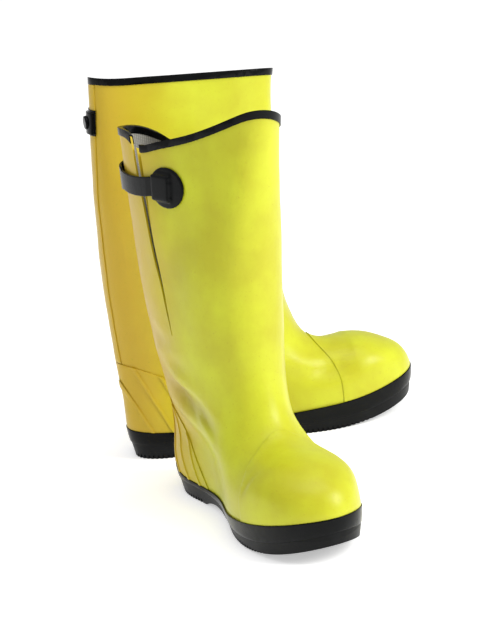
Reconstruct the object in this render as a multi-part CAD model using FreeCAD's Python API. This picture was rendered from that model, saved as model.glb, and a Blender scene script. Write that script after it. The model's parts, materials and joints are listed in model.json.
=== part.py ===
"""A pair of tall pull-on rubber boots with a side gusset and a snap strap, built by hand lay-up on a last.

Each boot is drawn in its own frame: the back of the heel at x = 0, the toe along +X, the inner side of the
foot along +Y, the floor at z = 0. The drawing is the right boot. The left one is its mirror image.
The pair stands heels together on the floor, with the left toe along +X and the right boot turned out.
Lengths are in millimetres, angles in degrees.
"""
import FreeCAD, Part
import math
import os
from collections import namedtuple

V = FreeCAD.Vector
UP = V(0, 0, 1)

# ---- the pair ----
PAIR_TURN = -81.0                    # the right boot's heading, from the left boot's
RIGHT_HEEL = (6.0, -37.0)             # where each heel stands, before the pair is centred
LEFT_HEEL = (-47.0, 64.0)
SHAFT_TWIST = {"right": 22.0, "left": 0.0}      # how far each soft shaft has turned on its foot at the top
RIM_TILT = {"right": 9.0, "left": -10.0}        # how much the rim rises from its middle to its front
RIM_DROP = {"right": 12.0, "left": 0.0}         # how much lower the shaft has settled
INNER_DIP = {"right": 36.0, "left": 0.0}        # how far the rim has sagged along its inner side
OUTER_DIP = {"right": 19.0, "left": 24.0}       # and along its outer side, down to the corner beside the gusset
STRAP_DEPTH = {"right": 80.0, "left": 47.0}     # how far the strap hangs below the boot's nominal height

# ---- the last: what the foot and the shaft are laid up on ----
FOOT_LENGTH = 334.0
BALL_WIDTH = 114.0
HEEL_WIDTH = 78.0
WAIST_WIDTH = 71.0
BOOT_HEIGHT = 430.0
SHAFT_TOP = BOOT_HEIGHT + 22.0       # the last runs on past the rim, which is trimmed from it
TWIST_FROM = 100.0
RIM_SPAN = 55.0                      # half the width over which the rim slopes from side to side
RIM_FULLNESS = 2.7                   # exponent of the rim's oval: 2 is an ellipse, more is a flattened tube

# ---- rubber sheet, cloth and soles ----
WALL = 2.4                           # yellow upper
GLUE = 0.15                          # between two layers
LINING = 1.0
FILLER = 4.0
INSOLE = 3.0
OVERLAY = 1.0                        # stay, counter and toe cap
STAY_WIDTH = 24.0
COUNTER_HEIGHT = 112.0
STAY_GAP = 1.5                       # between the counter and the stay above it
FOXING = 2.2
RIB = 1.1                            # height of the counter's ribs above it
RIB_WIDTH = 3.2
BINDING_WALL = 1.3
BINDING_HEIGHT = 6.5

# ---- outsole ----
SOLE_EDGE = 3.2                      # how far the outsole's edge stands outside the upper
SOLE_TUCK = 5.0                      # how far that edge is drawn in at the floor
FEATHER = 13.0                       # where the upper meets the outsole, at the ball
HEEL_RISE = 5.0                      # how much higher it is at the heel
TOE_SPRING = 20.0                    # how far the toe tip is lifted off the floor
SPRING_FROM = 212.0
HEEL_FRONT = 86.0
HEEL_LIFT = 8.0
ARCH_END = 146.0
ARCH = 6.0
LUG_DEPTH = 3.6
LUG_PITCH = 11.0
LUG_RIM = 6.0                        # plain rim round the grooves
EDGE_PITCH = 5.6                     # between the notches round the edge
LUG_GROOVE = 4.2
SERRATION = 1.4                      # radius of those notches

# ---- gusset, strap and snap ----
SLIT_TOP_X = 46.0                    # centre of the slit at the rim, from the back of the heel
SLIT_FOOT_X = 84.0
SLIT_FOOT_Z = 192.0
SLIT_WIDTH = 17.0
GUSSET_DEPTH = 20.0
GUSSET_WALL = 1.4
SLIT_FOOT_HALF = 0.6                 # half width of the slit's foot
SLIT_RUN_ON = 1.3                    # the slit's cutter runs past the rim by this share
FOLD_RUN_ON = 20.0                   # the gusset's fold is drawn this far past the rim, then trimmed
FOLD_FOOT_Y = 56.0                   # how far out the fold starts at its foot
FOLD_TOP_Y = 22.0                    # and at the top, where the flattened shaft is thinner
FOLD_OVERHANG = 26.0
FOLD_TIP = 6.0
STRAP_RISE = 3.0                     # how much higher the strap is at the back
STRAP_SLOPE = [(14.0, 1.0), (20.0, 0.93), (42.0, 0.45), (62.0, 0.1), (82.0, 0.0)]    # (x, share of the rise)
TAB_END = 14.0
STRAP_WIDTH = 20.0
STRAP = 2.8
STRAP_END_Y = 13.0                   # how far the strap's tip passes the back line
STRAP_TAB_WIDTH = 24.0
PATCH_LENGTH = 54.0
PATCH_HEIGHT = 43.0
PATCH_X = 101.0
PATCH_CHORD = 81.0                   # the patch's straight edge, where the strap comes out
STRAP_GAP = 5.4                      # free strap to patch, where the strap flexes
ROOT_END = PATCH_X + 4.0             # where the strap's root ends inside the patch
HUMP_WALL = 3.5                      # rubber round the root
BUTTON_PATCH = 1.0
BUTTON_PATCH_SIZE = 28.0
CAP_RADIUS = 7.5
CAP_HEIGHT = 2.4
CAP_POST_RADIUS = 3.4
CAP_ROUND = 1.4
CAP_SINK = 1.5                       # how far the cap's underside follows the strap's curve
CAP_SEAT = 0.1                       # between the cap and the strap
POST_LENGTH = 2.5
POST_GAP = 0.05
STUD_RADIUS = 2.2
STUD_NECK_RADIUS = 1.7
STUD_HEIGHT = 1.8
STUD_SEAT = 0.25                     # the stud's flat foot over the curved patch
SOCKET_GAP = 0.4
SOCKET_ROOF = 0.4                    # solid end of the post over the socket
FIT = 0.3                            # between pieces that only lie beside each other

FAR = 700.0

# layers over the upper, as distances out from it
STAY_IN = GLUE
STAY_OUT = STAY_IN + OVERLAY
BUTTON_IN = STAY_OUT + GLUE
BUTTON_OUT = BUTTON_IN + BUTTON_PATCH
STRAP_IN = BUTTON_OUT + GLUE
STRAP_OUT = STRAP_IN + STRAP
PATCH_OUT = STRAP_OUT + GLUE + 1.0
# layers inside the upper
LINING_OUT = -WALL - GLUE
LINING_IN = LINING_OUT - LINING
SOCK_OUT = LINING_IN - GLUE

Station = namedtuple("Station", "back_x back_z front_x front_z sole_scale half_width shaft_share")


def last_outline():
    """The foot's outline at the ball's height: (share of the length, y), from the back, outer side first."""
    heel, waist, ball = HEEL_WIDTH / 2, WAIST_WIDTH / 2, BALL_WIDTH / 2
    outer = [(0.0, 0.0), (0.025, -0.57 * heel), (0.115, -heel), (0.26, -0.97 * heel), (0.42, -1.06 * waist),
             (0.58, -0.92 * ball), (0.73, -1.01 * ball), (0.87, -0.84 * ball), (0.965, -0.45 * ball)]
    inner = [(1.0, 0.06 * ball), (0.97, 0.50 * ball), (0.87, 0.85 * ball), (0.73, 0.97 * ball),
             (0.57, 0.81 * ball), (0.42, 0.93 * waist), (0.26, 0.93 * heel), (0.115, 0.96 * heel),
             (0.025, 0.55 * heel)]
    return outer + inner


def stations():
    """Slices through the last from the sole up. Low ones follow the foot, and the shaft's are ovals."""
    toe = FOOT_LENGTH
    top = SHAFT_TOP
    return [
        Station(4, 2, toe - 6, 2, 0.94, 44, 0.0),
        Station(3, 14, toe - 4, 18, 0.96, 44, 0.0),
        Station(1, 26, toe, 36, 0.995, 45, 0.0),
        Station(0, 38, toe, 54, 1.0, 45, 0.0),
        Station(0, 48, toe - 9, 70, 0.98, 45, 0.04),
        Station(0, 58, toe - 30, 82, 0.925, 45, 0.12),
        Station(0, 68, toe - 56, 90, 0.87, 46, 0.25),
        Station(-1, 80, toe - 86, 98, 0.83, 46, 0.45),
        Station(-2, 95, toe - 110, 111, 0.80, 47, 0.68),
        Station(-3, 114, toe - 125, 134, 0.80, 48, 0.88),
        Station(-4, 140, toe - 133, 163, 0.80, 50, 1.0),
        Station(-5, 180, toe - 136, 202, 0.80, 51, 1.0),
        Station(-5, 230, toe - 135, 248, 0.80, 51, 1.0),
        Station(-3, 290, toe - 131, 300, 0.80, 48, 1.0),
        Station(1, 350, toe - 123, 355, 0.80, 41, 1.0),
        Station(6, 402, toe - 114, 404, 0.80, 34, 1.0),
        Station(10, top, toe - 106, top, 0.80, 30, 1.0),
    ]


def oval_share(u, z):
    """Half width of the shaft's slice at a share u of its length. It is fuller towards the flattened rim."""
    power = 2.0 + (RIM_FULLNESS - 2.0) * min(max((z - TWIST_FROM) / (BOOT_HEIGHT - TWIST_FROM), 0.0), 1.0)
    return (1 - abs(2 * u - 1) ** power) ** (1 / power)


def shaft_centre(z):
    """x of the shaft's middle at height z."""
    rows = stations()[9:]
    z = min(max(z, rows[0].back_z), rows[-1].back_z)
    for low, high in zip(rows, rows[1:]):
        if z <= high.back_z:
            share = (z - low.back_z) / (high.back_z - low.back_z)
            return (low.back_x + low.front_x + share * (high.back_x + high.front_x - low.back_x - low.front_x)) / 2
    return (rows[-1].back_x + rows[-1].front_x) / 2


def outline_shares():
    """Where each outline point falls along the closed curve, from 0 to 1. All the slices share these."""
    points = [V(u * FOOT_LENGTH, y, 0) for u, y in last_outline()]
    steps = [a.distanceToPoint(b) for a, b in zip(points, points[1:] + points[:1])]
    shares = [0.0]
    for step in steps:
        shares.append(shares[-1] + step / sum(steps))
    return shares[:-1] + [1.0]


def closed_wire(points):
    """A smooth closed curve through one slice's points."""
    curve = Part.BSplineCurve()
    curve.interpolate(Points=points, PeriodicFlag=True, Parameters=outline_shares())
    return Part.Wire([curve.toShape()])


class Boot:
    """One boot. The side only decides how far its shaft has twisted and how its rim is tilted."""

    def __init__(self, side):
        self.side = side
        self.twist_top = SHAFT_TWIST[side]
        self.rim_tilt = RIM_TILT[side]
        self.rim_drop = RIM_DROP[side]
        self.inner_dip = INNER_DIP[side]
        self.outer_dip = OUTER_DIP[side]
        self.strap_z = BOOT_HEIGHT - STRAP_DEPTH[side]
        self.hulls = {}
        self.grid = self.last_grid()

    # ---- the last ----
    def twist(self, z):
        share = min(max((z - TWIST_FROM) / (BOOT_HEIGHT - TWIST_FROM), 0.0), 1.0)
        return self.twist_top * share

    def last_grid(self):
        outline = last_outline()
        grid = []
        for row in stations():
            middle_z = (row.back_z + row.front_z) / 2
            middle_x = (row.back_x + row.front_x) / 2
            turn = math.radians(self.twist(middle_z))
            points = []
            for u, y_foot in outline:
                x = row.back_x + (row.front_x - row.back_x) * u
                z = row.back_z + (row.front_z - row.back_z) * u
                oval = row.half_width * oval_share(u, middle_z)
                y_oval = math.copysign(oval, y_foot)
                y = (1 - row.shaft_share) * y_foot * row.sole_scale + row.shaft_share * y_oval
                dx = x - middle_x
                points.append(V(middle_x + dx * math.cos(turn) - y * math.sin(turn),
                                dx * math.sin(turn) + y * math.cos(turn), z))
            grid.append(points)
        return grid

    def moved_out(self, i, distance):
        """Slice i with every point moved so that the surface lies this far outside the last."""
        row = self.grid[i]
        below = self.grid[max(i - 1, 0)]
        above = self.grid[min(i + 1, len(self.grid) - 1)]
        count = len(row)
        across = row[count // 2] - row[0]
        plane = across.cross(V(-across.y, across.x, 0)).normalize()
        moved = []
        for k, point in enumerate(row):
            along = row[(k + 1) % count] - row[k - 1]
            normal = along.cross(above[k] - below[k]).normalize()
            outward = along.cross(plane).normalize()
            slant = max(0.4, normal.dot(outward))
            moved.append(point + outward * (distance / slant))
        return moved

    def hull(self, distance):
        """The last as one closed solid, grown outward by a distance, or shrunk where it is negative."""
        key = round(distance, 3)
        if key not in self.hulls:
            wires = [closed_wire(self.moved_out(i, distance)) for i in range(len(self.grid))]
            self.hulls[key] = Part.makeLoft(wires, True, False)
        return self.hulls[key].copy()

    def layer(self, outer, inner, place):
        """The skin between two distances from the last, inside a place."""
        return self.hull(outer).common(place).cut(self.hull(inner))

    def at_height(self, shape, z):
        """Turns a shape drawn square to the foot so that it is square to the twisted shaft at height z."""
        turned = shape.copy()
        turned.rotate(V(shaft_centre(z), 0, 0), UP, self.twist(z))
        return turned



# ---- regions bounded by curves drawn in side view ----
def side_region(points, limit_z):
    """Everything between a smooth curve of (x, z) points and a level far above or below it."""
    curve = Part.BSplineCurve()
    curve.interpolate([V(x, -FAR / 2, z) for x, z in points])
    first, last = points[0], points[-1]
    corners = [V(last[0], -FAR / 2, last[1]), V(last[0], -FAR / 2, limit_z), V(first[0], -FAR / 2, limit_z),
               V(first[0], -FAR / 2, first[1])]
    edges = [curve.toShape()] + [Part.makeLine(a, b) for a, b in zip(corners, corners[1:])]
    return Part.Face(Part.Wire(edges)).extrude(V(0, FAR, 0))


def feather_z(x):
    """Height of the upper's underside: level at the ball, higher at the heel, sprung at the toe."""
    heel = HEEL_RISE * 0.5 * (1 - math.tanh((x - 0.5 * (HEEL_FRONT + ARCH_END)) / 26.0))
    return FEATHER + heel + spring(x)


def spring(x):
    share = max(0.0, x - SPRING_FROM) / (FOOT_LENGTH - SPRING_FROM)
    return TOE_SPRING * share ** 2


def feather_points(shift):
    steps = [-40, -10, 30, 70, 100, 130, 165, 200, 235, 265, 290, 312, 330, 350]
    return [(x, feather_z(x) + shift) for x in steps]


def above_feather(shift):
    return side_region(feather_points(shift), FAR)


def below_feather(shift):
    return side_region(feather_points(shift), -FAR)


def tread_points(shift):
    """The outsole's walking surface from the arch forward."""
    steps = [ARCH_END - 60, ARCH_END, 180, SPRING_FROM, 240, 262, 284, 306, 330, 350]
    return [(x, spring(x) + shift) for x in steps]


def two_sided_region(outer, inner, half_span, limit_z):
    """As side_region, with one curve on the outer side and another on the inner side, this far from the middle."""
    wires = []
    for y, points in ((-half_span, outer), (half_span, inner)):
        curve = Part.BSplineCurve()
        curve.interpolate([V(x, y, z) for x, z in points])
        last, first = points[-1], points[0]
        corners = [V(last[0], y, last[1]), V(last[0], y, limit_z), V(first[0], y, limit_z), V(first[0], y, first[1])]
        wires.append(Part.Wire([curve.toShape()] + [Part.makeLine(a, b) for a, b in zip(corners, corners[1:])]))
    return Part.makeLoft(wires, True, True)


def foxing_top(shift, limit_z):
    """Beyond the upper edge of the black band: high at the heel and toe, low at the waist and the outer side."""
    outer = [(-40, 36), (0, 34), (35, 23), (75, 17), (120, 16), (165, 18), (205, 25), (250, 33), (290, 40), (328, 47),
             (350, 50)]
    inner = [(-40, 36), (0, 35), (35, 36), (75, 35), (120, 32), (165, 30), (205, 31), (250, 33), (290, 39), (328, 47),
             (350, 50)]
    outer = [(x, z + shift) for x, z in outer]
    inner = [(x, z + shift) for x, z in inner]
    return two_sided_region(outer, inner, BALL_WIDTH, limit_z)


def rim_region(boot, drop):
    """Everything above the rim, lowered by a distance. The rim's line differs on the shaft's two sides."""
    middle = shaft_centre(BOOT_HEIGHT)
    reach = FOOT_LENGTH / 2
    corner = SLIT_TOP_X + SLIT_WIDTH / 2

    def level(x):
        return BOOT_HEIGHT - boot.rim_drop - drop + boot.rim_tilt * (x - middle) / 105.0

    near_gusset = [(middle - reach, 0), (10, 0), (corner - SLIT_WIDTH, 0.12), (corner, 1.0), (corner + 25, 0.98),
                   (middle + 20, 0.62), (middle + 65, 0.15), (middle + 97, -0.45), (middle + reach, -1.2)]
    sagging = [(middle - reach, 0.4), (5, 0.5), (25, 0.9), (corner, 1.02), (corner + 25, 1.04), (middle + 20, 1.0),
               (middle + 65, 0.9), (middle + reach, 0.6)]
    outer_dips = near_gusset if boot.outer_dip < boot.inner_dip else sagging
    outer = [(x, level(x) - share * boot.outer_dip) for x, share in outer_dips]
    inner = [(x, level(x) - share * boot.inner_dip) for x, share in sagging]
    return boot.at_height(two_sided_region(outer, inner, RIM_SPAN, FAR), BOOT_HEIGHT)


def box(x0, x1, y0, y1, z0, z1):
    return Part.makeBox(x1 - x0, y1 - y0, z1 - z0, V(x0, y0, z0))


# ---- soles ----
def sole_outline(boot, z, tuck):
    """The outsole's outline at one height, drawn in by a distance."""
    return closed_wire([V(p.x, p.y, z) for p in boot.moved_out(1, SOLE_EDGE - tuck)])


def sole_blank(boot):
    """A block with the outsole's outline. Its side leans in towards the floor."""
    return Part.makeLoft([sole_outline(boot, 0, SOLE_TUCK), sole_outline(boot, 2 * FEATHER, 0),
                          sole_outline(boot, 4 * FEATHER, 0)], True, True)


def edge_notches(boot, low, high):
    """Small upright notches round the sole's edge, which make its cleated look."""
    edge = sole_outline(boot, 0, SOLE_TUCK).Edges[0]
    count = int(edge.Length / EDGE_PITCH)
    cutters = []
    for k in range(count):
        where = edge.getParameterByLength((k + 0.5) * edge.Length / count)
        centre = edge.valueAt(where)
        cutter = Part.makeCylinder(SERRATION, high - low, V(centre.x, centre.y, low))
        cutters.append(cutter)
    return Part.makeCompound(cutters)


def outsole(boot):
    """Forepart, waist and the plate that carries the heel, with cleats on its underside."""
    blank = sole_blank(boot).common(below_feather(-GLUE))
    tread = side_region(tread_points(0), FAR)
    heel_plate = box(-40, HEEL_FRONT, -80, 80, HEEL_LIFT, 60)
    arch = Part.makeCylinder(60, 160, V((HEEL_FRONT + ARCH_END) / 2 + 3, -80, ARCH - 60), V(0, 1, 0))
    front = blank.common(tread).common(box(HEEL_FRONT, FOOT_LENGTH + 20, -80, 80, -10, 60))
    body = front.fuse(blank.common(heel_plate)).cut(arch)
    grooves = []
    x = ARCH_END + 6.0
    while x < FOOT_LENGTH - 14:
        grooves.append(box(x, x + LUG_GROOVE, -80, -5, -10, 60))
        grooves.append(box(x + LUG_PITCH / 2, x + LUG_PITCH / 2 + LUG_GROOVE, 5, 80, -10, 60))
        x += LUG_PITCH
    layer = side_region(tread_points(-8), FAR).cut(side_region(tread_points(LUG_DEPTH), FAR)).common(lug_field(boot))
    notches = edge_notches(boot, -5, LUG_DEPTH + 1.2).common(box(ARCH_END, FOOT_LENGTH + 20, -80, 80, -10, 60))
    body = body.cut(Part.makeCompound(grooves).common(layer)).cut(notches)
    return body


def lug_field(boot):
    """The part of the sole that has grooves, inside a plain rim."""
    return Part.Face(sole_outline(boot, -20, SOLE_TUCK + LUG_RIM)).extrude(V(0, 0, 80))


def heel_block(boot):
    """The heel under the plate: a separate moulding with its own cleats."""
    blank = sole_blank(boot).common(box(-40, HEEL_FRONT, -80, 80, 0, HEEL_LIFT - GLUE))
    breast = Part.makeCylinder(38, 60, V(HEEL_FRONT + 32.5, 0, -20))
    grooves = [box(x, x + LUG_GROOVE, -80, 80, -10, LUG_DEPTH) for x in (16.0, 31.0, 46.0, 61.0)]
    notches = edge_notches(boot, -5, LUG_DEPTH + 1.0)
    return blank.cut(breast).cut(Part.makeCompound(grooves).common(lug_field(boot))).cut(notches)


def foxing(boot):
    """Black band that wraps the seam between the sole and the upper."""
    return boot.layer(FOXING, GLUE, above_feather(GLUE).common(foxing_top(0, -FAR)))


# ---- upper ----
def slit_prism(boot, margin):
    """The V-shaped slit in the outer side of the shaft, as a cutter that is wider by a margin each side."""
    rise = BOOT_HEIGHT - SLIT_FOOT_Z
    top = SLIT_FOOT_Z + rise * SLIT_RUN_ON
    lean = (SLIT_TOP_X - SLIT_FOOT_X) * SLIT_RUN_ON
    half = SLIT_WIDTH / 2 * SLIT_RUN_ON + margin
    foot = SLIT_FOOT_HALF + margin
    points = [V(SLIT_FOOT_X - foot, 0, SLIT_FOOT_Z - 2 * margin), V(SLIT_FOOT_X + foot, 0, SLIT_FOOT_Z - 2 * margin),
              V(SLIT_FOOT_X + lean + half, 0, top), V(SLIT_FOOT_X + lean - half, 0, top)]
    face = Part.Face(Part.makePolygon(points + points[:1]))
    prism = face.extrude(V(0, -120, 0))
    return boot.at_height(prism, boot.strap_z)


def upper(boot):
    """Yellow foot and shaft in one vulcanised skin, with the slit for the gusset."""
    outside = boot.hull(0).common(above_feather(0))
    inside = boot.hull(-WALL).common(above_feather(WALL))
    return outside.cut(inside).cut(rim_region(boot, 0)).cut(slit_prism(boot, 0))


def fold_solid(boot, wall, spread):
    """The gusset's two leaves, folded in towards the leg. spread thickens them to both sides."""
    rise = BOOT_HEIGHT + FOLD_RUN_ON - SLIT_FOOT_Z
    wires = []
    for share in (0.03, 1.0):
        z = SLIT_FOOT_Z + rise * share
        middle = SLIT_FOOT_X + (SLIT_TOP_X - SLIT_FOOT_X) * share * rise / (BOOT_HEIGHT - SLIT_FOOT_Z)
        half = SLIT_WIDTH / 2 * share * rise / (BOOT_HEIGHT - SLIT_FOOT_Z) + 0.8
        face_y = -(FOLD_FOOT_Y + (FOLD_TOP_Y - FOLD_FOOT_Y) * share)
        tip_y = face_y + FOLD_TIP + GUSSET_DEPTH * share
        tip_x = middle + 5.0 * share
        out_y = face_y - FOLD_OVERHANG
        t = wall + spread
        points = [V(middle + half - spread, out_y, z), V(middle + half + t, out_y, z), V(tip_x, tip_y + t + 1, z),
                  V(middle - half - t, out_y, z), V(middle - half + spread, out_y, z), V(tip_x, tip_y - spread - 1, z)]
        wires.append(Part.makePolygon(points + points[:1]))
    return boot.at_height(Part.makeLoft(wires, True, True), boot.strap_z)


def gusset(boot):
    """Folded rubber web behind the slit, trimmed to the inside of the upper."""
    web = fold_solid(boot, GUSSET_WALL, 0).common(boot.hull(-WALL - GLUE))
    return web.cut(rim_region(boot, BINDING_HEIGHT))


def top_binding(boot):
    """Black rubber tape folded over the top edge of the upper."""
    place = rim_region(boot, BINDING_HEIGHT).cut(rim_region(boot, -BINDING_WALL - GLUE))
    tape = boot.layer(GLUE + BINDING_WALL, -WALL - GLUE - BINDING_WALL, place)
    skin = boot.layer(GLUE, -WALL - GLUE, rim_region(boot, 2 * BINDING_HEIGHT).cut(rim_region(boot, -GLUE)))
    tape = tape.cut(skin).cut(slit_prism(boot, FIT))
    return tape.cut(fold_solid(boot, GUSSET_WALL, FIT))


def back_stay(boot):
    """Strip over the seam down the back of the shaft."""
    half = STAY_WIDTH / 2
    window = box(-60, 60, -half, half, COUNTER_HEIGHT + STAY_GAP, FAR)
    place = boot.at_height(window, 300).cut(rim_region(boot, BINDING_HEIGHT + FIT))
    return boot.layer(STAY_OUT, STAY_IN, place)


def counter_region():
    """Side view of the heel counter: high at the back, running down to the waist."""
    high = COUNTER_HEIGHT
    return side_region([(-40, high + 1), (0, high), (30, high - 12), (62, 0.7 * high), (88, 0.46 * high),
                        (106, 0.23 * high), (116, 6)], -FAR)


def heel_counter(boot):
    """Second layer over the heel, with slanting ribs on both sides."""
    place = counter_region().common(foxing_top(FIT, FAR))
    place = place.common(box(-60, 114, -100, 100, 0, 200))
    skin = boot.layer(STAY_OUT, STAY_IN, place)
    ribs = []
    for foot_x in (22.0, 44.0, 66.0, 88.0):
        rib = box(0, RIB_WIDTH, -100, 100, -20, 140)
        rib.rotate(V(0, 0, 0), V(0, 1, 0), -24.0)
        rib.translate(V(foot_x, 0, 26))
        ribs.append(rib)
    raised = boot.layer(STAY_OUT + RIB, STAY_IN, Part.makeCompound(ribs).common(place))
    return skin.fuse(raised)


def toe_cap(boot):
    """Second layer over the toes, with a curved rear edge."""
    front = Part.makeCylinder(120, FAR, V(345, 0, 0)).common(box(200, 400, -100, 100, 0, 200))
    place = front.common(foxing_top(FIT, FAR))
    return boot.layer(STAY_OUT, STAY_IN, place)


# ---- inside ----
def lining(boot):
    """Cloth lining glued to the inside of the upper, cut away behind the gusset."""
    outside = boot.hull(LINING_OUT).common(above_feather(WALL + GLUE))
    inside = boot.hull(LINING_IN).common(above_feather(WALL + GLUE + LINING))
    sleeve = outside.cut(inside).cut(rim_region(boot, BINDING_HEIGHT + FIT))
    return sleeve.cut(slit_prism(boot, 9.0)).cut(fold_solid(boot, GUSSET_WALL, FIT))


def sock_layer(boot, low, high):
    """A flat layer on the floor of the boot."""
    return boot.hull(SOCK_OUT).common(above_feather(low)).common(below_feather(high))


def filler_sole(boot):
    low = WALL + GLUE + LINING + GLUE
    return sock_layer(boot, low, low + FILLER)


def insole(boot):
    low = WALL + GLUE + LINING + GLUE + FILLER + GLUE
    return sock_layer(boot, low, low + INSOLE)


# ---- strap ----
def strap_rise(x):
    """How much higher the strap's middle line is here than at the patch."""
    if x <= STRAP_SLOPE[0][0]:
        return STRAP_RISE
    for (low, share_low), (high, share_high) in zip(STRAP_SLOPE, STRAP_SLOPE[1:]):
        if x <= high:
            return STRAP_RISE * (share_low + (share_high - share_low) * (x - low) / (high - low))
    return 0.0


def strap_zone(boot, x0, x1, y0, y1, width, tab=0.0):
    """A block over the strap's path, square to the shaft: level round the back, then sloping down to the patch.
    tab is the width round the snap, where that differs."""
    half = width / 2
    tab_half = max(tab / 2, half)
    knots = [x0] + [x for x, share in STRAP_SLOPE if x0 < x < x1] + [x1]
    steps = [(x, strap_rise(x), tab_half if x <= TAB_END else half) for x in knots]
    upper_side = [V(x, y0, boot.strap_z + rise + h) for x, rise, h in steps]
    lower_side = [V(x, y0, boot.strap_z + rise - h) for x, rise, h in reversed(steps)]
    face = Part.Face(Part.makePolygon(upper_side + lower_side + upper_side[:1]))
    return boot.at_height(face.extrude(V(0, y1 - y0, 0)), boot.strap_z)


def strap(boot):
    """Free part of the strap with a wider tab round the snap, and the hole for the snap's post."""
    zone = strap_zone(boot, -60, PATCH_CHORD - STRAP_GAP, -90, STRAP_END_Y, STRAP_WIDTH, STRAP_TAB_WIDTH)
    hole = snap_cylinder(boot, CAP_POST_RADIUS + POST_GAP, STRAP_OUT, -20, 40)
    return boot.layer(STRAP_OUT, STRAP_IN, zone).cut(hole)


def strap_root(boot):
    """The end of the strap that is vulcanised into the patch."""
    zone = strap_zone(boot, PATCH_CHORD + FIT, ROOT_END, -90, 0, STRAP_WIDTH)
    return boot.layer(STRAP_OUT, STRAP_IN, zone)


def strap_patch(boot):
    """Round patch with one straight edge, raised over the strap's end."""
    rim = Part.Ellipse(V(0, 0, 0), PATCH_LENGTH / 2, PATCH_HEIGHT / 2).toShape()
    rim.rotate(V(0, 0, 0), V(1, 0, 0), 90)
    rim.translate(V(PATCH_X, 0, boot.strap_z))
    disc = Part.Face(Part.Wire([rim])).extrude(V(0, -90, 0))
    disc = boot.at_height(disc.common(box(PATCH_CHORD, 200, -100, 0, 0, FAR)), boot.strap_z)
    flat = boot.layer(BUTTON_OUT, GLUE, disc)
    bulge = disc.common(strap_zone(boot, PATCH_CHORD - 1, ROOT_END + HUMP_WALL, -90, 0, STRAP_WIDTH + 2 * HUMP_WALL))
    hump = boot.layer(PATCH_OUT, GLUE, bulge)
    room = strap_zone(boot, PATCH_CHORD - 5, ROOT_END + FIT, -90, 0, STRAP_WIDTH + 2 * FIT)
    pocket = boot.layer(STRAP_OUT + GLUE, STRAP_IN - GLUE, room)
    return flat.fuse(hump).cut(pocket)


def button_patch(boot):
    """Small patch over the back stay that carries the snap's stud."""
    half = BUTTON_PATCH_SIZE / 2
    return boot.layer(BUTTON_OUT, BUTTON_IN, strap_zone(boot, -60, 30, -half, half, BUTTON_PATCH_SIZE))


def snap_face(boot, distance):
    """x of the point where the snap's axis comes out of a layer, square to the shaft."""
    z = boot.strap_z + STRAP_RISE
    axis = boot.at_height(Part.makeLine(V(-60, 0, z), V(60, 0, z)), boot.strap_z)
    inside = axis.common(boot.hull(distance))
    centre = V(shaft_centre(boot.strap_z), 0, z)
    return shaft_centre(boot.strap_z) - max((v.Point - centre).Length for v in inside.Vertexes)


def snap_cylinder(boot, radius, layer, start, length):
    """A cylinder on the snap's axis, which points straight back. It starts this far out from a layer's face."""
    rod = Part.makeCylinder(radius, length, V(snap_face(boot, layer) - start, 0, boot.strap_z + STRAP_RISE), V(-1, 0, 0))
    return boot.at_height(rod, boot.strap_z)


def snap_stud(boot):
    """Stud on the back patch that the socket clips over: a neck with a wider head."""
    half = STUD_HEIGHT / 2
    neck = snap_cylinder(boot, STUD_NECK_RADIUS, BUTTON_OUT, STUD_SEAT, half)
    head = snap_cylinder(boot, STUD_RADIUS, BUTTON_OUT, STUD_SEAT + half, half)
    return neck.fuse(head)


def snap_cap(boot):
    """Cap on the outside of the strap, with its post through the strap and the socket in the post."""
    disc = snap_cylinder(boot, CAP_RADIUS, STRAP_OUT, -CAP_SINK, CAP_HEIGHT + CAP_SINK)
    edges = [e for e in disc.Edges if abs(e.Length - 2 * math.pi * CAP_RADIUS) < 0.1]
    towards_leg = boot.at_height(Part.makeLine(V(0, 0, 0), V(1, 0, 0)), boot.strap_z).Vertexes
    inward = towards_leg[1].Point - towards_leg[0].Point
    outer_edge = min(edges, key=lambda e: e.CenterOfMass.dot(inward))
    disc = disc.makeFillet(CAP_ROUND, [outer_edge]).cut(boot.hull(STRAP_OUT + CAP_SEAT))
    post = snap_cylinder(boot, CAP_POST_RADIUS, STRAP_OUT, -POST_LENGTH, POST_LENGTH + CAP_SEAT)
    socket = snap_cylinder(boot, STUD_RADIUS + SOCKET_GAP, STRAP_OUT, -STRAP - 1, STRAP + 1 - SOCKET_ROOF)
    return disc.fuse(post).cut(socket)


def hinge_point(boot):
    """Where the free strap bends: the middle of its thickness at the patch's mouth."""
    x = PATCH_CHORD - STRAP_GAP / 2
    across = boot.at_height(Part.makeLine(V(x, -90, boot.strap_z), V(x, 0, boot.strap_z)), boot.strap_z)
    inside = across.common(boot.hull((STRAP_IN + STRAP_OUT) / 2))
    return min((v.Point for v in inside.Vertexes), key=lambda p: p.y)


# ---- placing and writing ----
PIECES = {
    "outsole": outsole, "heel_block": heel_block, "foxing": foxing, "upper": upper, "gusset": gusset,
    "top_binding": top_binding, "back_stay": back_stay, "heel_counter": heel_counter, "toe_cap": toe_cap,
    "lining": lining, "filler_sole": filler_sole, "insole": insole, "strap": strap, "strap_root": strap_root,
    "strap_patch": strap_patch, "button_patch": button_patch, "snap_stud": snap_stud, "snap_cap": snap_cap,
}


def placed(shape, side):
    """Moves a piece from the boot's own frame to where the boot stands in the pair."""
    moved = shape.copy()
    if side == "left":
        moved = moved.mirror(V(0, 0, 0), V(0, 1, 0))
        moved.translate(V(LEFT_HEEL[0], LEFT_HEEL[1], 0))
    else:
        moved.rotate(V(0, 0, 0), UP, PAIR_TURN)
        moved.translate(V(RIGHT_HEEL[0], RIGHT_HEEL[1], 0))
    return moved


def solids_only(shape):
    """The closed solids of a shape, without the crumbs that a cut can leave."""
    solids = [s for s in shape.Solids if s.Volume > 1.0]
    return solids[0] if len(solids) == 1 else Part.makeCompound(solids)


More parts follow.
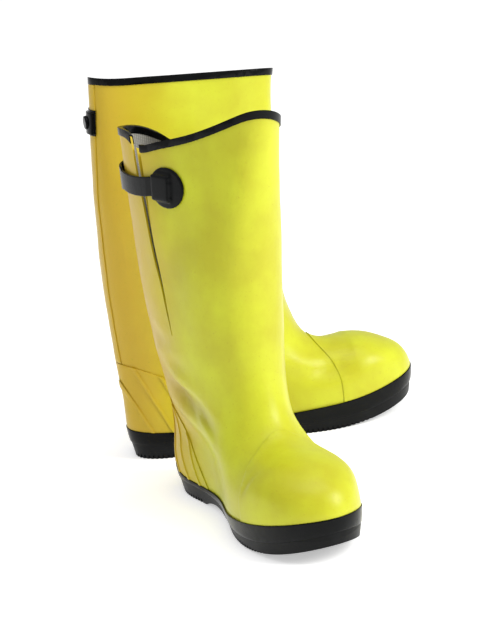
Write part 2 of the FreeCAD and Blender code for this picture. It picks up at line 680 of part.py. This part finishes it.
def build():
    nodes = {}
    for side in ("right", "left"):
        boot = Boot(side)
        for name, maker in PIECES.items():
            nodes[side + "_" + name] = solids_only(placed(maker(boot), side))
    bounds = Part.makeCompound(list(nodes.values())).optimalBoundingBox(False, False)
    centre = V(-(bounds.XMin + bounds.XMax) / 2, -(bounds.YMin + bounds.YMax) / 2, -bounds.ZMin)
    for shape in nodes.values():
        shape.translate(centre)
    return nodes, centre


def main():
    os.makedirs("parts", exist_ok=True)
    nodes, centre = build()
    for name, shape in nodes.items():
        shape.exportStep("parts/" + name + ".step")
        print(name, "solids", len(shape.Solids), "volume", round(shape.Volume), "valid", shape.isValid())
    print("centre", centre)


if __name__ == "__main__":
    main()
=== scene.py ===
"""A pair of yellow rubber pull-on boots with black soles, standing heels together on a pale floor.

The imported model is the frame. The soft layers are copied from it, cut finer and pushed into the folds
and dents of empty rubber boots, all layers by one field, so that they stay as far apart as they were.
Metres, +Z up. Places on a boot are given in its own frame: x from the back of the heel to the toe,
y towards the boot's inner side, z up from the floor.
"""
import bpy
import json
import math
from collections import namedtuple
from mathutils import Matrix, Vector, noise


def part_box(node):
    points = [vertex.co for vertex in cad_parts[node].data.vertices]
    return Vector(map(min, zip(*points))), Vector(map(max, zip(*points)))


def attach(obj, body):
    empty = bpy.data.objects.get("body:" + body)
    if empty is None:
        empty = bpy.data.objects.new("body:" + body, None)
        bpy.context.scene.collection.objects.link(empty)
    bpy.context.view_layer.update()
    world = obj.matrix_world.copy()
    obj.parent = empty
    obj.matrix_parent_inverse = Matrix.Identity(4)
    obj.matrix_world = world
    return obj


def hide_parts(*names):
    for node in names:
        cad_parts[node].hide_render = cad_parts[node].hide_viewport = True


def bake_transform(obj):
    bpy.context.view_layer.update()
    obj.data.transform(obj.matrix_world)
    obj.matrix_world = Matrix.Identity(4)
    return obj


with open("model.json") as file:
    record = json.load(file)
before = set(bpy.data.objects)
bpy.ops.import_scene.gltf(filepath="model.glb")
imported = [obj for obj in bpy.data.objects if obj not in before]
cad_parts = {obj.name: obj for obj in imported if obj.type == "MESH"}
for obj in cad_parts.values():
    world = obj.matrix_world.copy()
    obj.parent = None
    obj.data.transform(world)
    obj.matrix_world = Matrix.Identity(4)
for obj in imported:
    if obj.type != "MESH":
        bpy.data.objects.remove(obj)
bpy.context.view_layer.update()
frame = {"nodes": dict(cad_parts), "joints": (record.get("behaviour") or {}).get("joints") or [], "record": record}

MM = 0.001
SIDES = ("right", "left")
HEADING = {"right": math.radians(-81.0), "left": 0.0}
INNER_SIGN = {"right": 1.0, "left": -1.0}
REST_FROM_HEEL = 25.6 * MM           # from the back of the heel to the middle of the heel's resting face

# camera, from the left boot's heel
CAMERA_OFFSET = Vector((-0.509, -2.516, 0.8855))
CAMERA_TURN = (-0.2476, 0.28264, -0.11881)      # turn, height above the horizon, roll, in radians
CAMERA_LENS = 134.5
FRAME_HEIGHT = 36.0


# ---- the boots' own frames ----
def rest_point(side):
    """The middle of a heel's resting face, from the record's mounts."""
    mounts = {mount["name"]: mount for mount in frame["record"]["mounts"]}
    return Vector(mounts[side + "_sole_rest"]["pos_m"])


def axes(side):
    turn = HEADING[side]
    toe = Vector((math.cos(turn), math.sin(turn), 0))
    inner = Vector((-math.sin(turn), math.cos(turn), 0)) * INNER_SIGN[side]
    return toe, inner


def into_boot(side):
    """A matrix that takes a point from the row frame into a boot's own frame."""
    toe, inner = axes(side)
    heel = rest_point(side) - toe * REST_FROM_HEEL
    out = Matrix((toe, inner, Vector((0, 0, 1)))).transposed().to_4x4()
    return (Matrix.Translation(heel) @ out).inverted()


# ---- the folds of empty boots ----
# A fold is a line on one side of a boot: middle (x, z), lean from level in degrees, half length, half width
# and depth in millimetres. y_side is -1 for the outer side, 1 for the inner one and 0 for both.
Fold = namedtuple("Fold", "x z lean half_length half_width depth y_side")
FOLDS = {
    "right": [
        Fold(92, 124, -14, 78, 14, 8.5, -1), Fold(84, 156, 6, 52, 10, 2.6, -1),
        Fold(146, 112, -30, 38, 8, 3.0, -1), Fold(60, 184, -10, 40, 10, 1.8, -1),
        Fold(104, 130, -16, 64, 11, 5.0, 1), Fold(250, 74, 68, 20, 4, 0.8, 0),
        Fold(118, 250, 74, 90, 26, 1.6, -1), Fold(158, 330, 80, 80, 26, 1.4, -1),
        Fold(120, 300, 78, 90, 22, 2.5, 1),
    ],
    "left": [
        Fold(100, 126, -16, 66, 12, 5.0, 1), Fold(84, 154, 6, 50, 10, 2.6, 1),
        Fold(150, 114, -30, 38, 9, 3.0, 1), Fold(118, 210, 76, 60, 22, 1.4, 1),
        Fold(150, 320, 84, 90, 26, 1.6, 1), Fold(70, 310, 86, 90, 22, 1.4, 1),
        Fold(256, 88, 70, 18, 4, 1.0, 0), Fold(246, 84, 66, 20, 4, 0.8, 0),
        Fold(96, 132, -12, 60, 11, 3.6, -1),
    ],
}
LIP_SHARE = 0.35                     # the raised lip on each side of a fold, as a share of its depth
LIP_PLACE = 1.7                      # and how many half widths away from its middle it is
VAMP_DIP = {"right": 0.004, "left": 0.009}      # the instep sinks behind the stiff toe
VAMP_DIP_X = 0.226
VAMP_DIP_LENGTH = 0.030
TOE_PUFF = 0.003                     # and the toe stands a little proud
TOE_PUFF_X = 0.285
SHAFT_X = 0.090                      # middle of the shaft, from the back of the heel
FOOT_CORE_Z = 0.045                  # height of the foot's middle line
FIELD_FROM_Z = 0.034                 # below this nothing is pushed
FIELD_FULL_Z = 0.070
WAVE_HEIGHT = 0.0011
WAVE_SIZE = 0.075
RIPPLE_HEIGHT = 0.00035
RIPPLE_SIZE = 0.022
INNER_SINK = 0.012                   # the right rim's inner side has sunk this far beside the gusset
FRONT_LIFT = 0.006                   # and its front edge stands this much higher
BACK_SHADE_REACH = 0.135                  # the back of the boot is painted a warm amber shade from the back line to here
STRAP_CALM = 0.045                   # round the snap and the patch nothing is pushed within this distance


def smooth_step(value, low, high):
    share = min(max((value - low) / (high - low), 0.0), 1.0)
    return share * share * (3 - 2 * share)


def outward(point):
    """Level and away from the shaft's middle, turning to straight out of the foot in the forepart."""
    shaft = Vector((point.x - SHAFT_X, point.y, 0))
    foot = Vector((0, point.y, max(point.z - FOOT_CORE_Z, 0)))
    if shaft.length < 1e-6 or foot.length < 1e-6:
        return Vector((0, 0, 0))
    share = smooth_step(point.z, 0.085, 0.140)
    share = max(share, 1 - smooth_step(point.x, 0.080, 0.150))
    return (shaft.normalized() * share + foot.normalized() * (1 - share)).normalized()


def fold_depth(fold, point):
    """How deep one fold is at a point."""
    lean = math.radians(fold.lean)
    dx = point.x - fold.x * MM
    dz = point.z - fold.z * MM
    along = (dx * math.cos(lean) + dz * math.sin(lean)) / (fold.half_length * MM)
    across = (dz * math.cos(lean) - dx * math.sin(lean)) / (fold.half_width * MM)
    if abs(along) > 1 or abs(across) > 3:
        return 0.0
    side = 1.0
    if fold.y_side:
        side = smooth_step(point.y * fold.y_side, -0.012, 0.020)
    profile = math.exp(-across * across) - LIP_SHARE * math.exp(-(abs(across) - LIP_PLACE) ** 2 / 0.5)
    return fold.depth * MM * side * (1 - along * along) ** 2 * profile


def calm(point, quiet):
    """0 near the strap's metal and its patch, 1 well away from them."""
    nearest = min((point - place).length for place in quiet)
    return smooth_step(nearest, 0.4 * STRAP_CALM, 1.4 * STRAP_CALM)


def push(side, point, quiet):
    """(how far a point moves outward, how deep in a fold it is)."""
    level = smooth_step(point.z, FIELD_FROM_Z, FIELD_FULL_Z) * calm(point, quiet)
    seed = Vector((0, 0, 7.0 if side == "left" else 0.0))
    wave = noise.noise(point / WAVE_SIZE + seed) * WAVE_HEIGHT * (0.5 + 1.5 * smooth_step(point.z, 0.1, 0.3))
    ripple = noise.noise(point / RIPPLE_SIZE + seed) * RIPPLE_HEIGHT
    depth = sum(fold_depth(fold, point) for fold in FOLDS[side])
    on_top = smooth_step(point.z, 0.048, 0.078) * smooth_step(point.x, 0.120, 0.170)
    dip = VAMP_DIP[side] * math.exp(-((point.x - VAMP_DIP_X) / VAMP_DIP_LENGTH) ** 2)
    puff = TOE_PUFF * math.exp(-((point.x - TOE_PUFF_X) / VAMP_DIP_LENGTH) ** 2)
    return level * (wave + ripple - depth + on_top * (puff - dip)), level * max(depth, 0.0)


def sag(side, point):
    """How far a point near the right boot's rim has sunk, or been drawn up. The inner side sinks beside the
    gusset, and the front edge stands up."""
    if side == "left":
        return 0.0
    near_rim = smooth_step(point.z, 0.300, 0.400)
    beside = smooth_step(point.y, -0.006, 0.016) * (1 - smooth_step(point.x, 0.070, 0.130))
    front = smooth_step(point.x, 0.110, 0.210)
    return near_rim * (FRONT_LIFT * front - INNER_SINK * beside)


def quiet_places(side):
    """Middles of the snap and of the strap's patch, in the boot's own frame."""
    turn = into_boot(side)
    places = []
    for name in ("_snap_cap", "_strap_patch"):
        low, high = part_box(side + name)
        places.append(turn @ ((low + high) / 2))
    return places


# ---- copies of the soft layers ----
Cut = namedtuple("Cut", "height along")      # distances between level cuts, and between cuts across the foot
FINE = Cut(0.007, 0.010)
MEDIUM = Cut(0.009, 0.012)
LAYERS = {      # the record's material slot, how finely it is cut and how round its edges are
    "upper": ("yellow_rubber", FINE, 0.0), "gusset": ("yellow_rubber", MEDIUM, 0.0),
    "top_binding": ("black_rubber", FINE, 0.0004), "back_stay": ("yellow_rubber", FINE, 0.00025),
    "heel_counter": ("yellow_rubber", FINE, 0.00025), "toe_cap": ("yellow_rubber", MEDIUM, 0.00025),
    "foxing": ("black_rubber", MEDIUM, 0.0005), "lining": ("lining_cloth", MEDIUM, 0.0),
    "insole": ("insole_foam", MEDIUM, 0.0), "button_patch": ("black_rubber", MEDIUM, 0.0002),
}
MERGE = 0.00002


def only(piece):
    """Selects one object and nothing else."""
    bpy.ops.object.select_all(action="DESELECT")
    piece.select_set(True)
    bpy.context.view_layer.objects.active = piece


def copy_layer(name):
    """A merged copy of a CAD layer as a new object."""
    source = frame["nodes"][name]
    mesh = source.data.copy()
    mesh.materials.clear()
    piece = bpy.data.objects.new(name + "_skin", mesh)
    bpy.context.scene.collection.objects.link(piece)
    only(piece)
    bpy.ops.object.mode_set(mode="EDIT")
    bpy.ops.mesh.select_all(action="SELECT")
    bpy.ops.mesh.remove_doubles(threshold=MERGE)
    bpy.ops.object.mode_set(mode="OBJECT")
    if piece.data.has_custom_normals:
        bpy.ops.mesh.customdata_custom_splitnormals_clear()
    return piece


def round_edges(piece, width):
    """Moulded rubber has no sharp edges."""
    bevel = piece.modifiers.new("round", "BEVEL")
    bevel.width = width
    bevel.segments = 2
    bevel.limit_method = "ANGLE"
    bevel.angle_limit = math.radians(50)
    only(piece)
    bpy.ops.object.modifier_apply(modifier=bevel.name)


def slice_finer(piece, side, cut):
    """Cuts the mesh on level planes and on planes across the foot, so that it can bend."""
    toe, _ = axes(side)
    corners = [Vector(c) for c in piece.bound_box]
    only(piece)
    bpy.ops.object.mode_set(mode="EDIT")
    for direction, step in ((Vector((0, 0, 1)), cut.height), (toe, cut.along)):
        reach = [c.dot(direction) for c in corners]
        first = math.floor(min(reach) / step) + 1
        last = math.ceil(max(reach) / step)
        for k in range(first, last):
            bpy.ops.mesh.select_all(action="SELECT")
            bpy.ops.mesh.bisect(plane_co=direction * (k * step), plane_no=direction)
    bpy.ops.object.mode_set(mode="OBJECT")


def press_folds(piece, side, quiet):
    """Moves every vertex by the boot's field, and keeps how deep in a fold it is, for the painted fold shade, and
    the painted back shade as attributes.
    """
    inward = into_boot(side)
    back = inward.inverted().to_3x3()
    depths = []
    back_shades = []
    for vertex in piece.data.vertices:
        point = inward @ vertex.co
        shift, depth = push(side, point, quiet)
        vertex.co += back @ (outward(point) * shift + Vector((0, 0, sag(side, point))))
        depths.append(depth / MM)
        # painted shade: 1 at the back of the heel, fading to 0 towards the toe, for the warm amber shade on the
        # back
        back_shades.append(1 - smooth_step(point.x + 0.35 * point.y, 0.0, BACK_SHADE_REACH))
    for name, values in (("fold_depth", depths), ("back_shade", back_shades)):
        attribute = piece.data.attributes.new(name, "FLOAT", "POINT")
        attribute.data.foreach_set("value", values)
    piece.data.update()


def make_layers():
    for side in SIDES:
        quiet = quiet_places(side)
        for layer, (slot, cut, edge) in LAYERS.items():
            name = side + "_" + layer
            piece = copy_layer(name)
            if edge:
                round_edges(piece, edge)
            slice_finer(piece, side, cut)
            press_folds(piece, side, quiet)
            only(piece)
            bpy.ops.object.shade_smooth_by_angle(angle=math.radians(38))
            piece.data.materials.append(MATERIALS[slot])
            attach(piece, side + "_boot")
            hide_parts(name)


# ---- strap and patch ----
MOULD_VOXEL = 0.0007
STRAP_SAG = 0.0045
STRAP_TUCK = 0.0045                  # how far past its bend the strap runs into the patch
CUT_END = 0.0008                     # what lies this close to the strap's cut end is drawn into the patch


def hinge(side):
    """Where the strap bends, and the level direction from there into the patch."""
    joints = {joint["name"]: joint for joint in frame["joints"]}
    place = Vector(joints[side + "_strap_hinge"]["pos_m"])
    low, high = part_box(side + "_strap_patch")
    towards = (low + high) / 2 - place
    towards.z = 0
    return place, towards.normalized()


def mould(piece, voxel, passes):
    """Remeshes a piece into one skin and softens it, as vulcanising does."""
    only(piece)
    piece.data.remesh_voxel_size = voxel
    bpy.ops.object.voxel_remesh()
    soften = piece.modifiers.new("soften", "SMOOTH")
    soften.factor = 0.5
    soften.iterations = passes
    bpy.ops.object.modifier_apply(modifier=soften.name)
    bpy.ops.object.shade_smooth()


def make_strap(side):
    """The strap hangs in a shallow curve between the snap and the patch, and runs on into the patch."""
    piece = copy_layer(side + "_strap")
    place, towards = hinge(side)
    low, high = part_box(side + "_snap_cap")
    span = ((low + high) / 2 - place).xy.length
    end = max((vertex.co - place).dot(towards) for vertex in piece.data.vertices)
    for vertex in piece.data.vertices:
        if (vertex.co - place).dot(towards) > end - CUT_END:
            vertex.co += towards * (STRAP_TUCK - end)
    mould(piece, MOULD_VOXEL, 5)
    for vertex in piece.data.vertices:
        share = min((vertex.co - place).xy.length / span, 1.0)
        vertex.co.z -= STRAP_SAG * math.sin(math.pi * share)
    piece.data.materials.append(MATERIALS["black_rubber"])
    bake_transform(piece)
    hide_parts(side + "_strap")


def make_patch(side):
    """The patch and the strap's root are vulcanised into one: a disc with a raised tongue."""
    piece = copy_layer(side + "_strap_patch")
    root = copy_layer(side + "_strap_root")
    only(piece)
    root.select_set(True)
    bpy.ops.object.join()
    mould(piece, MOULD_VOXEL, 70)
    piece.data.materials.append(MATERIALS["black_rubber"])
    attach(piece, side + "_boot")
    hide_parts(side + "_strap_patch", side + "_strap_root")


# ---- materials ----
def linear(hex_colour):
    """An sRGB hex colour as linear RGBA."""
    channels = [int(hex_colour[i:i + 2], 16) / 255 for i in (1, 3, 5)]
    return tuple(c / 12.92 if c <= 0.04045 else ((c + 0.055) / 1.055) ** 2.4 for c in channels) + (1.0,)


def add(tree, kind, settings=None, **inputs):
    """Adds a node, sets its properties and its inputs. An input is a value or another node's socket."""
    made = tree.nodes.new(kind)
    for key, value in (settings or {}).items():
        setattr(made, key, value)
    for key, value in inputs.items():
        numbered = key[0] == "i" and key[1:].isdigit()
        socket = made.inputs[int(key[1:])] if numbered else made.inputs[key.replace("_", " ")]
        if isinstance(value, bpy.types.NodeSocket):
            tree.links.new(value, socket)
        else:
            socket.default_value = value
    return made


def start(name):
    """A new material with its tree, its shader and the object's own coordinates."""
    material = bpy.data.materials.new(name)
    material.use_nodes = True
    tree = material.node_tree
    shader = tree.nodes["Principled BSDF"]
    place = add(tree, "ShaderNodeTexCoord").outputs["Object"]
    return material, tree, shader, place


def mixed(tree, factor, first, second):
    """Two colours mixed by a factor."""
    mix = add(tree, "ShaderNodeMix", {"data_type": "RGBA"})
    tree.links.new(factor, mix.inputs[0])
    for socket, value in ((mix.inputs[6], first), (mix.inputs[7], second)):
        if isinstance(value, bpy.types.NodeSocket):
            tree.links.new(value, socket)
        else:
            socket.default_value = value
    return mix.outputs[2]


def ramp(tree, factor, low, high):
    """A factor stretched so that low becomes 0 and high becomes 1."""
    stretch = add(tree, "ShaderNodeMapRange", {"clamp": True}, Value=factor, From_Min=low, From_Max=high)
    return stretch.outputs[0]


def between(tree, factor, low, high):
    """A factor turned into a value from low to high."""
    return add(tree, "ShaderNodeMapRange", Value=factor, To_Min=low, To_Max=high).outputs[0]


def mottle(tree, place, scale, detail, roughness):
    """Cloudy noise. The scale is in patches per metre."""
    cloud = add(tree, "ShaderNodeTexNoise", Vector=place, Scale=scale, Detail=detail, Roughness=roughness)
    return cloud.outputs["Fac"]


def relief(tree, height, strength, distance, **under):
    """A bumped normal, on top of another one where that is given."""
    bump = add(tree, "ShaderNodeBump", Height=height, Strength=strength, Distance=distance, **under)
    return bump.outputs["Normal"]


def vulcanised_yellow():
    """Hand-laid yellow rubber: a lemon face with a painted warm amber shade towards the back and a painted olive
    shade in the folds, with a faint orange-peel skin and small flow marks."""
    material, tree, shader, place = start("vulcanised_yellow_rubber")
    clouds = mottle(tree, place, 16.0, 4.0, 0.55)
    specks = mottle(tree, place, 420.0, 3.0, 0.6)
    folds = add(tree, "ShaderNodeAttribute", {"attribute_name": "fold_depth"}).outputs["Fac"]
    back_shade = add(tree, "ShaderNodeAttribute", {"attribute_name": "back_shade"}).outputs["Fac"]
    lemon_tone = mixed(tree, ramp(tree, clouds, 0.35, 0.68), linear("#B7B424"), linear("#C5CA2C"))
    # painted shade: the lemon face turns warm amber towards the back of the boot
    body = mixed(tree, ramp(tree, back_shade, 0.0, 1.15), lemon_tone, linear("#C9A32E"))
    dusty = mixed(tree, ramp(tree, specks, 0.62, 0.86), body, linear("#ADA024"))
    # painted shade: the deeper in a fold, the darker olive the rubber
    colour = mixed(tree, ramp(tree, folds, 0.3, 16.0), dusty, linear("#86701A"))
    tree.links.new(colour, shader.inputs["Base Color"])
    rough = ramp(tree, clouds, 0.2, 0.8)
    tree.links.new(between(tree, rough, 0.30, 0.44), shader.inputs["Roughness"])
    peel = mottle(tree, place, 230.0, 5.0, 0.6)
    dents = mottle(tree, place, 38.0, 3.0, 0.5)
    broad = relief(tree, dents, 0.25, 0.0015)
    tree.links.new(relief(tree, peel, 0.35, 0.0002, Normal=broad), shader.inputs["Normal"])
    shader.inputs["Specular IOR Level"].default_value = 0.28
    shader.inputs["Subsurface Weight"].default_value = 0.12
    shader.inputs["Subsurface Radius"].default_value = (1.0, 0.7, 0.1)
    shader.inputs["Subsurface Scale"].default_value = 0.004
    return material


def glossy_black():
    """Dipped black rubber: deep and glossy, with soft ripples in the reflections and a little dust."""
    material, tree, shader, place = start("glossy_black_rubber")
    clouds = mottle(tree, place, 30.0, 4.0, 0.6)
    colour = mixed(tree, ramp(tree, clouds, 0.35, 0.75), linear("#040505"), linear("#0B0D0E"))
    tree.links.new(colour, shader.inputs["Base Color"])
    tree.links.new(between(tree, clouds, 0.14, 0.30), shader.inputs["Roughness"])
    peel = mottle(tree, place, 120.0, 4.0, 0.55)
    tree.links.new(relief(tree, peel, 0.4, 0.0004), shader.inputs["Normal"])
    shader.inputs["Specular IOR Level"].default_value = 0.12
    return material


def tread_rubber():
    """Moulded black sole rubber, satin, greyer on its worn high spots."""
    material, tree, shader, place = start("moulded_tread_rubber")
    grain = mottle(tree, place, 300.0, 5.0, 0.65)
    scuffs = mottle(tree, place, 42.0, 5.0, 0.7)
    colour = mixed(tree, ramp(tree, scuffs, 0.5, 0.8), linear("#050606"), linear("#141617"))
    tree.links.new(colour, shader.inputs["Base Color"])
    shader.inputs["Specular IOR Level"].default_value = 0.14
    tree.links.new(between(tree, scuffs, 0.28, 0.55), shader.inputs["Roughness"])
    tree.links.new(relief(tree, grain, 0.4, 0.0003), shader.inputs["Normal"])
    return material


def knitted_lining():
    """Pale grey knitted cotton bonded to the rubber: fine ribs of loops about a millimetre apart."""
    material, tree, shader, place = start("knitted_cotton_lining")
    ribs = add(tree, "ShaderNodeTexWave", {"bands_direction": "X"}, Vector=place, Scale=150.0, Distortion=1.5,
               Detail=2.0, Detail_Scale=3.0).outputs["Fac"]
    rows = add(tree, "ShaderNodeTexWave", {"bands_direction": "Z"}, Vector=place, Scale=190.0, Distortion=1.2,
               Detail=2.0, Detail_Scale=3.0).outputs["Fac"]
    loops = add(tree, "ShaderNodeMath", {"operation": "MULTIPLY"}, i0=ribs, i1=rows).outputs[0]
    tree.links.new(mixed(tree, loops, linear("#8E8C84"), linear("#C9C7BE")), shader.inputs["Base Color"])
    shader.inputs["Roughness"].default_value = 0.92
    shader.inputs["Sheen Weight"].default_value = 0.25
    tree.links.new(relief(tree, loops, 0.6, 0.0004), shader.inputs["Normal"])
    return material


def felt_insole():
    """Dark grey needled felt with short loose fibres."""
    material, tree, shader, place = start("needled_felt_insole")
    fibres = mottle(tree, place, 500.0, 6.0, 0.75)
    tree.links.new(mixed(tree, fibres, linear("#26282A"), linear("#6A6C6E")), shader.inputs["Base Color"])
    shader.inputs["Roughness"].default_value = 0.95
    shader.inputs["Sheen Weight"].default_value = 0.3
    tree.links.new(relief(tree, fibres, 0.7, 0.0005), shader.inputs["Normal"])
    return material


def sponge_filler():
    """Brown sponge rubber with open cells."""
    material, tree, shader, place = start("sponge_rubber_filler")
    cells = add(tree, "ShaderNodeTexVoronoi", Vector=place, Scale=600.0).outputs["Distance"]
    tree.links.new(mixed(tree, cells, linear("#4A3D2C"), linear("#8A7656")), shader.inputs["Base Color"])
    shader.inputs["Roughness"].default_value = 0.9
    tree.links.new(relief(tree, cells, 0.6, 0.0005), shader.inputs["Normal"])
    return material


def black_oxide_brass():
    """Snap parts in brass with a black oxide finish, with bare metal just showing on the rubbed rims."""
    material, tree, shader, place = start("black_oxide_brass")
    wear = mottle(tree, place, 260.0, 4.0, 0.7)
    tree.links.new(mixed(tree, ramp(tree, wear, 0.6, 0.8), linear("#1B1B1D"), linear("#6B5A38")),
                   shader.inputs["Base Color"])
    shader.inputs["Metallic"].default_value = 1.0
    tree.links.new(between(tree, wear, 0.22, 0.42), shader.inputs["Roughness"])
    return material


MATERIALS = {
    "yellow_rubber": vulcanised_yellow(), "black_rubber": glossy_black(), "tread_rubber": tread_rubber(),
    "lining_cloth": knitted_lining(), "insole_foam": felt_insole(), "filler_foam": sponge_filler(),
    "snap_metal": black_oxide_brass(),
}
HARD = {"outsole": "tread_rubber", "heel_block": "tread_rubber", "filler_sole": "filler_foam",
        "snap_stud": "snap_metal", "snap_cap": "snap_metal"}


def finish_hard_pieces():
    """The moulded soles and the metal keep their CAD shape and get their finish."""
    for side in SIDES:
        for piece_name, slot in HARD.items():
            node = frame["nodes"][side + "_" + piece_name]
            node.data.materials.clear()
            node.data.materials.append(MATERIALS[slot])


# ---- floor, light and camera ----
FLOOR_GLOW = 0.45                    # the paper is lit through from below, which keeps it white


def pale_floor():
    bpy.ops.object.select_all(action="DESELECT")
    bpy.ops.mesh.primitive_plane_add(size=14.0, location=(0, 0, 0))
    floor = bpy.context.active_object
    floor.name = "studio_floor"
    paper, _, shader, _ = start("pale_paper")
    shader.inputs["Base Color"].default_value = linear("#FFFFFF")
    shader.inputs["Roughness"].default_value = 0.9
    shader.inputs["Emission Color"].default_value = linear("#FFFFFF")
    shader.inputs["Emission Strength"].default_value = FLOOR_GLOW
    floor.data.materials.append(paper)


def soft_box(name, place, aim, width, height, power, colour):
    bpy.ops.object.light_add(type="AREA", location=place)
    light = bpy.context.active_object
    light.name = name
    light.data.shape = "RECTANGLE"
    light.data.size = width
    light.data.size_y = height
    light.data.energy = power
    light.data.color = colour
    direction = Vector(aim) - Vector(place)
    light.rotation_euler = direction.to_track_quat("-Z", "Y").to_euler()


def studio_light():
    world = bpy.data.worlds.new("studio")
    bpy.context.scene.world = world
    world.use_nodes = True
    background = world.node_tree.nodes["Background"]
    background.inputs["Color"].default_value = (1.0, 1.0, 1.0, 1.0)
    background.inputs["Strength"].default_value = 0.55
    middle = (0.0, 0.0, 0.2)
    soft_box("key_softbox", (1.6, -1.5, 1.5), middle, 1.0, 1.3, 52.0, (1.0, 1.0, 0.97))
    soft_box("top_softbox", (0.1, -0.3, 2.1), middle, 1.6, 1.2, 14.0, (1.0, 1.0, 1.0))
    bpy.context.scene.view_settings.view_transform = "Standard"


def add_camera():
    turn, rise, roll = CAMERA_TURN
    back = Vector((math.sin(turn) * math.cos(rise), -math.cos(turn) * math.cos(rise), math.sin(rise)))
    right = (-back).cross(Vector((0, 0, 1))).normalized()
    up = right.cross(-back)
    level_right = right * math.cos(roll) + up * math.sin(roll)
    level_up = up * math.cos(roll) - right * math.sin(roll)
    bpy.ops.object.camera_add()
    camera = bpy.context.active_object
    camera.name = "camera"
    place = rest_point("left") + CAMERA_OFFSET
    turned = Matrix((level_right, level_up, back)).transposed().to_4x4()
    camera.matrix_world = Matrix.Translation(place) @ turned
    camera.data.sensor_fit = "VERTICAL"
    camera.data.sensor_height = FRAME_HEIGHT
    camera.data.lens = CAMERA_LENS
    bpy.context.scene.camera = camera


make_layers()
for side in SIDES:
    make_strap(side)
    make_patch(side)
finish_hard_pieces()
pale_floor()
studio_light()
add_camera()
